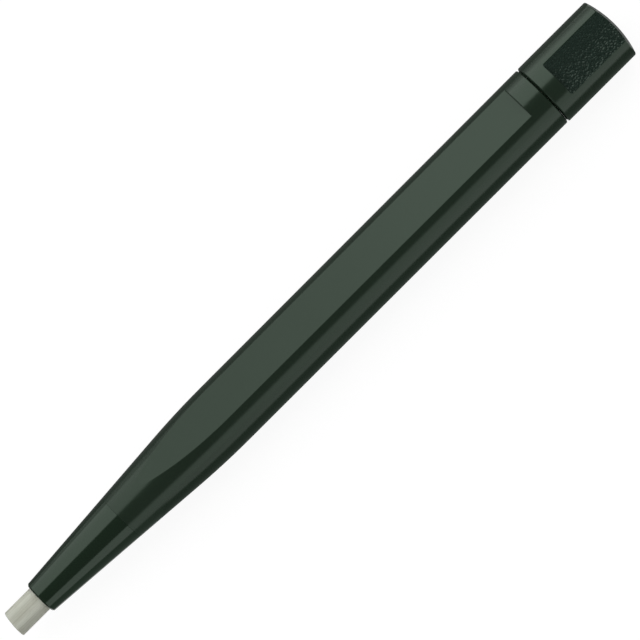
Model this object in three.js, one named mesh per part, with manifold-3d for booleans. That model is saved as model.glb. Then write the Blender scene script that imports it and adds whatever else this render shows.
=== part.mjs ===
// A propelling glass-fibre eraser: a pen whose rear cap is twisted to feed a bundle of glass fibres.
//
// Lengths are in millimetres. The pen lies along X, with its brush at the -X end and its twist cap
// at the +X end, and Z is up. The origin is midway along the whole pen, on the surface it lies on.
// A station is a distance along the pen's axis from the front of the nose, growing towards the cap.

import * as THREE from "three";
import { mergeVertices } from "three/addons/utils/BufferGeometryUtils.js";
import Module from "manifold-3d";

// Outside of the nose and the barrel
const noseLength = 15.9;
const noseTipRadius = 2.6;
const noseEdgeRadius = 0.25;
const taperLength = 31.6;
const shoulderBlend = 5;
const barrelLength = 82.65;
const barrelFrontRadius = 4.955;
const barrelRearRadius = 5.03;
const flatDistance = 4.16;
const collarLength = 3.15;
const edgeChamfer = 0.12;
const seamChamfer = 0.06;

// Inside of the nose and the barrel
const noseBoreRadius = 2.2;
const noseBoreLength = 6;
const noseChamberRadius = 2.55;
const spigotRadius = 2.95;
const spigotLength = 7;
const frontBoreRadius = 2.75;
const mainBoreRadius = 3.1;
const bushSeatRadius = 3.35;

// Twist cap
const capRadius = 5.08;
const capLength = 13.95;
const capGap = 0.25;
const capDome = 0.84;
const capEdgeRadius = 0.25;
const capNeckStep = 0.38;
const capBoreRadius = 3.1;
const capEndWall = 2.2;
const gripDistance = 4.16;
const gripOffset = 2.55;
const gripCornerRadius = 0.55;
const gripCornerInset = 0.13;
const gripTurn = 21.7;

// Refill, a standard stick of bound glass fibre
const refillRadius = 2.04;
const refillLength = 40;
const brushProtrusion = 5.2;
const brushSlant = 5;
const brushWear = 0.12;
const brushRoot = 0.8;
const brushBacking = 0.6;
const strandPitch = 0.21;
const strandRadius = 0.09;
const strandSides = 3;
const ferruleLength = 6;
const ferruleWall = 0.1;

// Holder and push tube
const holderDepth = 6;
const holderWall = 0.2;
const holderFloor = 0.8;
const holderSlits = 4;
const holderSlitWidth = 0.4;
const holderSlitLength = 4.5;
const tenonLength = 3;
const pushTubeRadius = 2.1;
const pushTubeBoreRadius = 1.6;

// Screw and nut
const screwLead = 8;
const screwRadius = 1.3;
const screwThickness = 1.3;
const screwOverrun = 1;
const shankRadius = 1;
const shankLength = 15;
const nutLength = 6;
const nutRadius = 2.5;
const nutSocketDepth = 2;
const keyLength = 5;
const keyWidth = 1;
const keyReach = 2.95;
const retractTravel = 6;
const extendTravel = 22;

// Guide sleeve, hub and bearing
const sleeveBoreRadius = 2.6;
const sleeveRingLength = 3;
const hubLengthInCap = 9;
const pilotDepth = 0.6;
const journalRadius = 2.2;
const journalLip = 0.6;
const bushLength = 7.8;
const washerThickness = 0.4;
const washerRadius = 3.15;
const clipThickness = 0.4;
const clipRadius = 2.75;
const clipOpening = 1.6;
const grooveRadius = 1.75;
const frictionRingThickness = 0.44;
const pinRadius = 0.4;

// Clearances between neighbours
const pressGap = 0.05;
const runningGap = 0.08;
const slidingGap = 0.1;
const facePlay = 0.1;
const stopGap = 0.3;

// How finely round shapes are faceted
const outerSides = 48;
const innerSides = 32;
const arcSteps = 4;
const screwStepsPerTurn = 20;

const wasm = await Module();
wasm.setup();

// Places along the axis that several pieces share
const barrelEnd = noseLength + barrelLength;
const capFront = barrelEnd + capGap;
const capEnd = capFront + capLength;
const spigotEnd = noseLength + spigotLength;
const refillEnd = refillLength - brushProtrusion;
const coreFront = brushRoot + brushBacking;
const holderFront = refillEnd - holderDepth;
const holderEnd = refillEnd + facePlay + holderFloor;
const hubShoulder = barrelEnd - pilotDepth;
const hubEnd = capFront + hubLengthInCap;
const washerFront = hubShoulder - facePlay - washerThickness;
const bushEnd = washerFront - facePlay;
const bushFront = bushEnd - bushLength;
const clipFront = bushFront - facePlay - clipThickness;
const journalFront = clipFront - journalLip;
const nutEnd = journalFront - stopGap - retractTravel;
const nutFront = nutEnd - nutLength;
const nutThreadFront = nutFront + nutSocketDepth;
const screwFront = nutThreadFront - extendTravel - screwOverrun;
const sleeveEnd = clipFront - stopGap;
const slotFront = nutFront - extendTravel - stopGap;
const sleeveFront = slotFront - sleeveRingLength;
const shankEnd = journalFront + shankLength;
const pinStation = (hubShoulder + shankEnd) / 2;
const frictionRingStation = (bushFront + bushEnd) / 2;

// Sizes that follow from a neighbour
const ferruleRadius = refillRadius + pressGap + ferruleWall;
const holderBoreRadius = ferruleRadius + pressGap;
const holderRadius = holderBoreRadius + holderWall;
const hubRadius = capBoreRadius - pressGap;
const bushBoreRadius = journalRadius + runningGap;
const shankBoreRadius = shankRadius + pressGap;
const slotWidth = keyWidth + 2 * slidingGap;

// The colours and finishes of the pieces
const finishes = {
  satinPlastic: { color: 0x4b574d, roughness: 0.45, metalness: 0 },
  glossPlastic: { color: 0x49554c, roughness: 0.25, metalness: 0 },
  capPlastic: { color: 0x4a554b, roughness: 0.4, metalness: 0 },
  whiteNylon: { color: 0xe6e3d8, roughness: 0.5, metalness: 0 },
  blackRubber: { color: 0x1d1d1d, roughness: 0.8, metalness: 0 },
  brass: { color: 0xb8964f, roughness: 0.3, metalness: 1 },
  steel: { color: 0xa9acb0, roughness: 0.3, metalness: 1 },
  aluminium: { color: 0xc4c6c8, roughness: 0.35, metalness: 1 },
  boundFibre: { color: 0xcfcdc0, roughness: 0.6, metalness: 0 },
  looseFibre: { color: 0xdedcd2, roughness: 0.7, metalness: 0 },
};

// The taper's radius at a station on its straight stretch.
function taperRadius(station) {
  return noseTipRadius + ((barrelFrontRadius - noseTipRadius) * station) / taperLength;
}

// Points of an arc about a centre, as [station, radius], from one angle to another in degrees.
function arc(station, radius, size, from, to) {
  return Array.from({ length: arcSteps + 1 }, (_, i) => {
    const angle = THREE.MathUtils.degToRad(from + ((to - from) * i) / arcSteps);
    return [station + size * Math.cos(angle), radius + size * Math.sin(angle)];
  });
}

// Turns an outline of [station, radius] points round the pen's axis. It runs from the cap end
// over the outside to the nose end. It closes on itself unless it starts on the axis.
function turned(outline, sides) {
  const points = outline.map(([station, radius]) => new THREE.Vector2(radius, -station));
  if (outline[0][1] > 0) points.push(points[0].clone());
  return new THREE.LatheGeometry(points, sides).rotateZ(Math.PI / 2);
}

// A tube or ring between two stations.
function ring(from, to, radius, boreRadius, sides) {
  const outline = [
    [to, boreRadius],
    [to, radius],
    [from, radius],
    [from, boreRadius],
  ];
  return turned(outline, sides);
}

// A solid round bar between two stations.
function bar(from, to, radius, sides) {
  const outline = [
    [to, 0],
    [to, radius],
    [from, radius],
    [from, 0],
  ];
  return turned(outline, sides);
}

// A box between two stations, with its width along Y and its height from low to high along Z.
function block(from, to, width, low, high) {
  const box = new THREE.BoxGeometry(to - from, width, high - low);
  return box.translate((from + to) / 2, 0, (low + high) / 2);
}

// The geometry as a solid that can be joined and cut.
function solid(geometry) {
  const bare = geometry.clone();
  bare.deleteAttribute("normal");
  bare.deleteAttribute("uv");
  const merged = mergeVertices(bare);
  const mesh = new wasm.Mesh({
    numProp: 3,
    vertProperties: merged.attributes.position.array,
    triVerts: new Uint32Array(merged.index.array),
  });
  return new wasm.Manifold(mesh);
}

// The solid as a geometry again.
function geometryOf(body) {
  const mesh = body.getMesh();
  const geometry = new THREE.BufferGeometry();
  geometry.setAttribute("position", new THREE.BufferAttribute(mesh.vertProperties, mesh.numProp));
  geometry.setIndex(new THREE.BufferAttribute(mesh.triVerts, 1));
  geometry.computeVertexNormals();
  return geometry;
}

// The section with each of its corners carried along the axis while it turns, one turn per lead,
// against the clock as it goes away from the nose, so that a clockwise twist feeds the nut forward.
function twistedBar(section, from, to) {
  const steps = Math.ceil(((to - from) / screwLead) * screwStepsPerTurn);
  const corners = section.length;
  const positions = [];
  const faces = [];
  for (let step = 0; step <= steps; step++) {
    const station = from + ((to - from) * step) / steps;
    const turn = (-2 * Math.PI * station) / screwLead;
    for (const [across, up] of section) {
      const y = across * Math.cos(turn) - up * Math.sin(turn);
      const z = across * Math.sin(turn) + up * Math.cos(turn);
      positions.push(station, y, z);
    }
  }
  for (let step = 0; step < steps; step++) {
    for (let i = 0; i < corners; i++) {
      const next = (i + 1) % corners;
      const here = step * corners;
      const there = here + corners;
      faces.push(here + i, here + next, there + next);
      faces.push(here + i, there + next, there + i);
    }
  }
  const last = steps * corners;
  for (let i = 1; i < corners - 1; i++) {
    faces.push(0, i + 1, i);
    faces.push(last, last + i, last + i + 1);
  }
  const geometry = new THREE.BufferGeometry();
  geometry.setAttribute("position", new THREE.Float32BufferAttribute(positions, 3));
  geometry.setIndex(faces);
  return geometry;
}

// The screw's section, a bar with round ends, grown all round by a margin.
function screwSection(margin) {
  const endRadius = screwThickness / 2 + margin;
  const centre = screwRadius - screwThickness / 2;
  const points = [];
  for (const side of [1, -1]) {
    for (let i = 0; i <= arcSteps; i++) {
      const angle = Math.PI * (i / arcSteps - 0.5);
      points.push([side * (centre + endRadius * Math.cos(angle)), side * endRadius * Math.sin(angle)]);
    }
  }
  return points;
}

// The tapered nose: a thin wall round the refill at its tip, then a wider chamber for the holder,
// and a spigot that plugs into the barrel.
function noseCone() {
  const tipSlopeRadius = taperRadius(noseEdgeRadius);
  const outline = [
    [spigotEnd, noseChamberRadius],
    [spigotEnd, spigotRadius - edgeChamfer],
    [spigotEnd - edgeChamfer, spigotRadius],
    [noseLength, spigotRadius],
    [noseLength, taperRadius(noseLength) - seamChamfer],
    [noseLength - seamChamfer, taperRadius(noseLength)],
    ...arc(noseEdgeRadius, tipSlopeRadius - noseEdgeRadius, noseEdgeRadius, 90, 180),
    [0, noseBoreRadius],
    [noseBoreLength, noseBoreRadius],
    [noseBoreLength, noseChamberRadius],
  ];
  return turned(outline, outerSides);
}

// The outside of the barrel from its rear end forward: rear edge, long straight side, and a
// smooth shoulder into the taper.
function barrelOutside() {
  const shoulder = new THREE.QuadraticBezierCurve(
    new THREE.Vector2(taperLength + shoulderBlend, barrelFrontRadius),
    new THREE.Vector2(taperLength, barrelFrontRadius),
    new THREE.Vector2(taperLength - shoulderBlend, taperRadius(taperLength - shoulderBlend)),
  );
  return [
    [barrelEnd, barrelRearRadius - edgeChamfer],
    [barrelEnd - edgeChamfer, barrelRearRadius],
    ...shoulder.getPoints(2 * arcSteps).map((point) => [point.x, point.y]),
    [noseLength + seamChamfer, taperRadius(noseLength + seamChamfer)],
    [noseLength, taperRadius(noseLength) - seamChamfer],
  ];
}

// The barrel, bored in steps for the nose, the push tube, the sleeve and the bush, with two
// opposite flats that stop short of a round collar at the rear.
function barrel() {
  const socketRadius = spigotRadius + pressGap;
  const socketEnd = spigotEnd + facePlay;
  const outline = [
    [barrelEnd, bushSeatRadius],
    ...barrelOutside(),
    [noseLength, socketRadius],
    [socketEnd, socketRadius],
    [socketEnd, frontBoreRadius],
    [sleeveFront, frontBoreRadius],
    [sleeveFront, mainBoreRadius],
    [bushFront, mainBoreRadius],
    [bushFront, bushSeatRadius],
  ];
  const flatEnd = barrelEnd - collarLength;
  const width = 2 * barrelRearRadius;
  const upperCut = solid(block(noseLength, flatEnd, width, flatDistance, barrelRearRadius + 1));
  const lowerCut = solid(block(noseLength, flatEnd, width, -barrelRearRadius - 1, -flatDistance));
  return geometryOf(solid(turned(outline, outerSides)).subtract(upperCut).subtract(lowerCut));
}

// The space cut away over one grip face of the cap, above the grip plane. Its front corners are
// round and its sides run out past the cap.
function gripCut() {
  const halfWidth = Math.sqrt(capRadius ** 2 - gripDistance ** 2) + gripCornerInset;
  const front = capFront + gripOffset;
  const shape = new THREE.Shape();
  shape.moveTo(capEnd + 1, -halfWidth);
  shape.lineTo(capEnd + 1, halfWidth);
  shape.lineTo(front + gripCornerRadius, halfWidth);
  shape.absarc(
    front + gripCornerRadius,
    halfWidth - gripCornerRadius,
    gripCornerRadius,
    Math.PI / 2,
    Math.PI,
  );
  shape.absarc(
    front + gripCornerRadius,
    -halfWidth + gripCornerRadius,
    gripCornerRadius,
    Math.PI,
    1.5 * Math.PI,
  );
  const options = { depth: capRadius, bevelEnabled: false, curveSegments: arcSteps };
  return new THREE.ExtrudeGeometry(shape, options).translate(0, 0, gripDistance);
}

// The twist cap: a blind bore from the front, a neck that runs against the barrel's end, a domed
// rear end whose rounded edge starts where the slopes agree, and two opposite grip faces.
function twistCap() {
  const domeRadius = (capRadius ** 2 + capDome ** 2) / (2 * capDome);
  const domeCentre = capEnd - domeRadius;
  const tilt = Math.asin((capRadius - capEdgeRadius) / (domeRadius - capEdgeRadius));
  const dome = Array.from({ length: arcSteps }, (_, i) => {
    const angle = (tilt * i) / arcSteps;
    return [domeCentre + domeRadius * Math.cos(angle), domeRadius * Math.sin(angle)];
  });
  const edgeStation = domeCentre + (domeRadius - capEdgeRadius) * Math.cos(tilt);
  const edgeStart = THREE.MathUtils.radToDeg(tilt);
  const edge = arc(edgeStation, capRadius - capEdgeRadius, capEdgeRadius, edgeStart, 90);
  const neckFront = barrelEnd + facePlay;
  const outline = [
    ...dome,
    ...edge,
    [capFront + edgeChamfer, capRadius],
    [capFront, capRadius - edgeChamfer],
    [capFront, capRadius - capNeckStep],
    [neckFront, capRadius - capNeckStep],
    [neckFront, capBoreRadius],
    [capEnd - capEndWall, capBoreRadius],
    [capEnd - capEndWall, 0],
  ];
  const turn = THREE.MathUtils.degToRad(gripTurn);
  const cap = [turn, turn + Math.PI].reduce(
    (body, angle) => body.subtract(solid(gripCut().rotateX(angle))),
    solid(turned(outline, outerSides)),
  );
  return geometryOf(cap);
}

// The hub: a plug pressed into the cap, and a journal that runs forward through the bush, with a
// groove for the friction ring, a groove for the clip, a bore for the screw and a cross hole.
function capHub() {
  const ringHalf = frictionRingThickness / 2 + slidingGap;
  const outline = [
    [hubEnd, 0],
    [hubEnd, hubRadius - edgeChamfer],
    [hubEnd - edgeChamfer, hubRadius],
    [hubShoulder, hubRadius],
    [hubShoulder, journalRadius],
    [frictionRingStation + ringHalf, journalRadius],
    [frictionRingStation + ringHalf, grooveRadius],
    [frictionRingStation - ringHalf, grooveRadius],
    [frictionRingStation - ringHalf, journalRadius],
    [clipFront + clipThickness + facePlay / 2, journalRadius],
    [clipFront + clipThickness + facePlay / 2, grooveRadius],
    [clipFront - facePlay / 2, grooveRadius],
    [clipFront - facePlay / 2, journalRadius],
    [journalFront, journalRadius],
    [journalFront, shankBoreRadius],
    [shankEnd + facePlay, shankBoreRadius],
    [shankEnd + facePlay, 0],
  ];
  return geometryOf(solid(turned(outline, innerSides)).subtract(pinHole()));
}

// The pin's hole through the hub and the screw's shank.
function pinHole() {
  const hole = new THREE.CylinderGeometry(
    pinRadius + pressGap,
    pinRadius + pressGap,
    2 * capRadius,
    innerSides / 2,
  );
  return solid(hole.rotateX(Math.PI / 2).translate(pinStation, 0, 0));
}

// The cross pin that turns the screw with the hub.
function screwPin() {
  const length = 2 * (hubRadius - edgeChamfer);
  const pin = new THREE.CylinderGeometry(pinRadius, pinRadius, length, innerSides / 2);
  return pin.rotateX(Math.PI / 2).translate(pinStation, 0, 0);
}

// The lead screw: a bar twisted to a coarse left-hand spiral, with a round shank in the hub.
function leadScrew() {
  const spiralEnd = journalFront - facePlay;
  const spiral = solid(twistedBar(screwSection(0), screwFront, spiralEnd));
  const shank = solid(bar(spiralEnd - facePlay, shankEnd, shankRadius, innerSides));
  return geometryOf(spiral.add(shank).subtract(pinHole()));
}

// The feed nut: a round body with two keys, a spiral hole for the screw, and a socket at the
// front for the push tube.
function feedNut() {
  const body = solid(bar(nutFront, nutEnd, nutRadius, innerSides));
  const keys = solid(block(nutFront, nutFront + keyLength, keyWidth, -keyReach, keyReach));
  const spiral = solid(twistedBar(screwSection(slidingGap), nutFront - stopGap, nutEnd + stopGap));
  const socket = solid(bar(nutFront - stopGap, nutThreadFront, pushTubeRadius + pressGap, innerSides));
  return geometryOf(body.add(keys).subtract(spiral).subtract(socket));
}

// The sleeve fixed in the barrel, slotted from its rear end for the nut's keys.
function guideSleeve() {
  const wall = ring(sleeveFront, sleeveEnd, mainBoreRadius - pressGap, sleeveBoreRadius, innerSides);
  const slots = block(slotFront, sleeveEnd + stopGap, slotWidth, -barrelRearRadius, barrelRearRadius);
  return geometryOf(solid(wall).subtract(solid(slots)));
}

// The tube between the holder and the nut.
function pushTube() {
  const front = holderEnd + facePlay / 2;
  return ring(front, nutThreadFront - facePlay / 2, pushTubeRadius, pushTubeBoreRadius, innerSides);
}

// The cup that grips the refill's ferrule with its slit fingers, and plugs into the push tube.
function refillHolder() {
  const tenonRadius = pushTubeBoreRadius - pressGap;
  const outline = [
    [holderEnd + tenonLength, 0],
    [holderEnd + tenonLength, tenonRadius],
    [holderEnd, tenonRadius],
    [holderEnd, holderRadius],
    [holderFront, holderRadius],
    [holderFront, holderBoreRadius],
    [holderEnd - holderFloor, holderBoreRadius],
    [holderEnd - holderFloor, 0],
  ];
  let cup = solid(turned(outline, innerSides));
  for (let i = 0; i < holderSlits; i++) {
    const slit = block(holderFront - stopGap, holderFront + holderSlitLength, holderSlitWidth, 0, capRadius);
    cup = cup.subtract(solid(slit.rotateX((2 * Math.PI * (i + 0.5)) / holderSlits)));
  }
  return geometryOf(cup);
}

// The sleeve crimped round the refill's rear end.
function refillFerrule() {
  const boreRadius = refillRadius + pressGap;
  return ring(refillEnd - ferruleLength, refillEnd, ferruleRadius, boreRadius, innerSides);
}

// The bound part of the glass-fibre stick.
function refillCore() {
  return bar(coreFront, refillEnd, refillRadius, innerSides);
}

// The station of the brush's working face over a point of the section: slanting, longest at -Y,
// and worn back a little towards its rim.
function brushTip(y, z) {
  const rimShare = Math.hypot(y, z) / refillRadius;
  const slant = y * Math.tan(THREE.MathUtils.degToRad(brushSlant));
  return slant - brushProtrusion + brushWear * rimShare ** 6;
}

// The places of the strands, on a grid of equal triangles inside the round section.
function strandPlaces() {
  const rowPitch = (strandPitch * Math.sqrt(3)) / 2;
  const rows = Math.ceil(refillRadius / rowPitch);
  const columns = Math.ceil(refillRadius / strandPitch) + 1;
  const places = [];
  for (let row = -rows; row <= rows; row++) {
    const shift = row % 2 === 0 ? 0 : 0.5;
    for (let column = -columns; column <= columns; column++) {
      const y = (column + shift) * strandPitch;
      const z = row * rowPitch;
      if (Math.hypot(y, z) <= refillRadius - strandRadius) places.push([y, z]);
    }
  }
  return places;
}

// The brush: parallel strands of glass fibre fused to a slice of the bound stick behind them.
function fibreBrush() {
  const positions = [];
  const faces = [];
  const strandEnd = brushRoot + brushBacking / 2;
  for (const [centreY, centreZ] of strandPlaces()) {
    const first = positions.length / 3;
    for (let i = 0; i < strandSides; i++) {
      const angle = (2 * Math.PI * i) / strandSides;
      const y = centreY + strandRadius * Math.cos(angle);
      const z = centreZ + strandRadius * Math.sin(angle);
      positions.push(brushTip(y, z), y, z, strandEnd, y, z);
    }
    for (let i = 0; i < strandSides; i++) {
      const here = first + 2 * i;
      const next = first + 2 * ((i + 1) % strandSides);
      faces.push(here, next, next + 1, here, next + 1, here + 1);
    }
    for (let i = 1; i < strandSides - 1; i++) {
      faces.push(first, first + 2 * i + 2, first + 2 * i);
      faces.push(first + 1, first + 2 * i + 1, first + 2 * i + 3);
    }
  }
  const strands = new THREE.BufferGeometry();
  strands.setAttribute("position", new THREE.Float32BufferAttribute(positions, 3));
  strands.setIndex(faces);
  const backing = bar(brushRoot, coreFront, refillRadius, innerSides);
  return geometryOf(solid(backing).add(solid(strands)));
}

// The bush that the hub's journal turns in.
function bearingBush() {
  return ring(bushFront, bushEnd, bushSeatRadius - pressGap, bushBoreRadius, innerSides);
}

// The washer between the bush and the hub's shoulder.
function thrustWasher() {
  return ring(washerFront, washerFront + washerThickness, washerRadius, bushBoreRadius, innerSides);
}

// The round rubber ring in the journal's groove, which holds the cap where it is left.
function frictionRing() {
  const size = frictionRingThickness / 2;
  const middle = bushBoreRadius - runningGap / 2 - size;
  const points = 2 * arcSteps;
  const outline = Array.from({ length: points }, (_, i) => {
    const angle = (2 * Math.PI * i) / points;
    return [frictionRingStation + size * Math.cos(angle), middle + size * Math.sin(angle)];
  });
  return turned(outline, innerSides);
}

// The open spring clip in the journal's front groove, which keeps the cap on the barrel.
function retainingClip() {
  const clip = ring(clipFront, clipFront + clipThickness, clipRadius, grooveRadius + pressGap, innerSides);
  const opening = block(clipFront - 1, clipFront + clipThickness + 1, clipOpening, 0, capRadius);
  return geometryOf(solid(clip).subtract(solid(opening)));
}

// A named piece of the pen in its finish.
function piece(name, geometry, finish) {
  const material = new THREE.MeshStandardMaterial({ ...finishes[finish], flatShading: true });
  const mesh = new THREE.Mesh(geometry, material);
  mesh.name = name;
  return mesh;
}

// What stands still in the hand.
const barrelGroup = new THREE.Group();
barrelGroup.add(
  piece("barrel", barrel(), "satinPlastic"),
  piece("nose_cone", noseCone(), "glossPlastic"),
  piece("guide_sleeve", guideSleeve(), "whiteNylon"),
  piece("bearing_bush", bearingBush(), "whiteNylon"),
);

// What turns with the cap.
const capGroup = new THREE.Group();
capGroup.add(
  piece("twist_cap", twistCap(), "capPlastic"),
  piece("cap_hub", capHub(), "whiteNylon"),
  piece("lead_screw", leadScrew(), "steel"),
  piece("screw_pin", screwPin(), "steel"),
  piece("thrust_washer", thrustWasher(), "steel"),
  piece("friction_ring", frictionRing(), "blackRubber"),
  piece("retaining_clip", retainingClip(), "steel"),
);

// What slides along the axis.
const feedGroup = new THREE.Group();
feedGroup.add(
  piece("feed_nut", feedNut(), "brass"),
  piece("push_tube", pushTube(), "aluminium"),
  piece("refill_holder", refillHolder(), "brass"),
  piece("refill_ferrule", refillFerrule(), "brass"),
  piece("refill_core", refillCore(), "boundFibre"),
  piece("fibre_brush", fibreBrush(), "looseFibre"),
);

// The axis lies at the cap's radius above the surface.
const brushFront = Math.min(...strandPlaces().map(([y, z]) => brushTip(y - strandRadius / 2, z)));
const pen = new THREE.Group();
pen.add(barrelGroup, capGroup, feedGroup);
pen.position.set(-(brushFront + capEnd) / 2, 0, capRadius);

const eraser = new THREE.Group();
eraser.add(pen);

export default eraser;
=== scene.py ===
"""A propelling glass-fibre eraser pen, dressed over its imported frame.

Lengths are in millimetres and are turned to Blender's metres where a mesh is placed. A station is
a distance along the pen's axis from the front of the nose, growing towards the twist cap. An angle
round the axis is counted from straight up (+Z) towards the camera's side (-Y).
"""
import logging
import math
from dataclasses import dataclass
from enum import Enum
from functools import cache

import bpy
import numpy as np
from mathutils import Matrix, Vector


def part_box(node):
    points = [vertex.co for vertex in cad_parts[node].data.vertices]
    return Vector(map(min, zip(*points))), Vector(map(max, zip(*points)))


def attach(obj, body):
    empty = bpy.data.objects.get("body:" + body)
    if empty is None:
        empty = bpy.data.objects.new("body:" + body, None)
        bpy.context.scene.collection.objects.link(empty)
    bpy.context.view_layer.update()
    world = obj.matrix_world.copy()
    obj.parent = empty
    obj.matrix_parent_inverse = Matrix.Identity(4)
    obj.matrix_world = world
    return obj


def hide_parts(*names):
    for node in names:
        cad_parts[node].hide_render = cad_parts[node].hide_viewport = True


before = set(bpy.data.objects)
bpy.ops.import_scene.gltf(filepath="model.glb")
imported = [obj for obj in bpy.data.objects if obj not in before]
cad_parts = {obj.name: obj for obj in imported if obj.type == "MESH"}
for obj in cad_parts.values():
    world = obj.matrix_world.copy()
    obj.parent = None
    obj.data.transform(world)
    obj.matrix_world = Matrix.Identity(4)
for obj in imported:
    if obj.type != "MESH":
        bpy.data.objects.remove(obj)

MM = 0.001
QUARTER = math.pi / 2
FULL_TURN = 2 * math.pi

# Edges of a shell that are bent by more than this many degrees stay crisp.
SHELL_SHARP = 32.0

# Widest turn between points round a small arc, in degrees.
ARC_STEP = 10.0

# A Mix node's colour sockets: its two inputs and its output.
LOW_COLOUR, HIGH_COLOUR, MIXED_COLOUR = 6, 7, 2

# An outline's points, each a station and a distance from the axis.
Outline = list[tuple[float, float]]

log = logging.getLogger("eraser_pen")


def linear(hex_colour: str) -> tuple[float, float, float, float]:
    """Turns an sRGB hex colour to Blender's linear values.

    Args:
        hex_colour: Six hex digits, such as "1c2e20".

    Returns:
        Linear red, green and blue, and an alpha of 1.
    """
    shares = [int(hex_colour[i : i + 2], 16) / 255 for i in (0, 2, 4)]
    lit = [c / 12.92 if c <= 0.04045 else ((c + 0.055) / 1.055) ** 2.4 for c in shares]
    return (*lit, 1.0)


def spread(start: float, stop: float, step: float) -> np.ndarray:
    """Spaces values evenly from start to stop, both included, at most a step apart."""
    count = max(1, math.ceil(abs(stop - start) / step))
    return np.linspace(start, stop, count + 1)


def lengthwise(start: float, stop: float, step: float, radius: float) -> Outline:
    """Spaces an outline's points along the axis at one radius."""
    return [(station, radius) for station in spread(start, stop, step)]


def crosswise(station: float, start: float, stop: float, step: float) -> Outline:
    """Spaces an outline's points outwards or inwards at one station."""
    return [(station, radius) for radius in spread(start, stop, step)]


def bore(rear: float, front: float, step: float, radius: float, gap: float) -> Outline:
    """Lists a bore's wall from its rear end to its front, where the second point is a gap away."""
    return [(rear, radius), *lengthwise(rear - gap, front + 0.1, step, radius), (front, radius)]


def rounded_corner(corner: tuple[float, float], size: float, start: float, stop: float) -> Outline:
    """Rounds an outside corner of an outline with an arc: centre + size (cos, sin).

    Args:
        corner: Station and radius of the arc's centre.
        size: Radius of the arc.
        start: First angle in degrees, where 0 points to +X and 90 outwards.
        stop: Last angle in degrees.

    Returns:
        Points of the outline.
    """
    turns = np.radians(spread(start, stop, ARC_STEP))
    stations = corner[0] + size * np.cos(turns)
    radii = corner[1] + size * np.sin(turns)
    return list(zip(stations, radii))


def smooth_step(share: np.ndarray) -> np.ndarray:
    """Eases a share from 0 to 1 as 3t^2 - 2t^3, and holds it outside that range."""
    t = np.clip(share, 0.0, 1.0)
    return t * t * (3.0 - 2.0 * t)


def lattice_noise(u: np.ndarray, v: np.ndarray, seed: int) -> np.ndarray:
    """Works out smooth random heights over a plane.

    Each whole (u, v) has a random height. Between four of them the height is their blend, with
    weights 3t^2 - 2t^3 along u and along v.

    Args:
        u: First coordinate, in lattice cells.
        v: Second coordinate, in lattice cells.
        seed: Picks the random heights.

    Returns:
        Heights from 0 to 1, in the shape that u and v broadcast to.
    """
    size = 256
    heights = np.random.default_rng(seed).random((size, size))
    column, row = np.floor(u).astype(int), np.floor(v).astype(int)
    right, up = smooth_step(u - column), smooth_step(v - row)
    low = heights[column % size, row % size] * (1 - right)
    low = low + heights[(column + 1) % size, row % size] * right
    high = heights[column % size, (row + 1) % size] * (1 - right)
    high = high + heights[(column + 1) % size, (row + 1) % size] * right
    return low * (1 - up) + high * up


def add_mesh(
    name: str, vertices: np.ndarray | list, faces: list, sharp: float | None = None
) -> bpy.types.Object:
    """Makes a mesh object at the origin and links it to the scene.

    Args:
        name: Name of the object and of its mesh.
        vertices: The points, in metres.
        faces: For each face, the numbers of its points.
        sharp: Edges bent by more than this many degrees stay crisp on a smooth surface. With
            None every face stays flat.

    Returns:
        The new object.
    """
    mesh = bpy.data.meshes.new(name)
    mesh.from_pydata(vertices, [], faces)
    if sharp is not None:
        mesh.shade_smooth()
        mesh.set_sharp_from_angle(angle=math.radians(sharp))
    mesh.update()
    piece = bpy.data.objects.new(name, mesh)
    bpy.context.scene.collection.objects.link(piece)
    return piece


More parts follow.
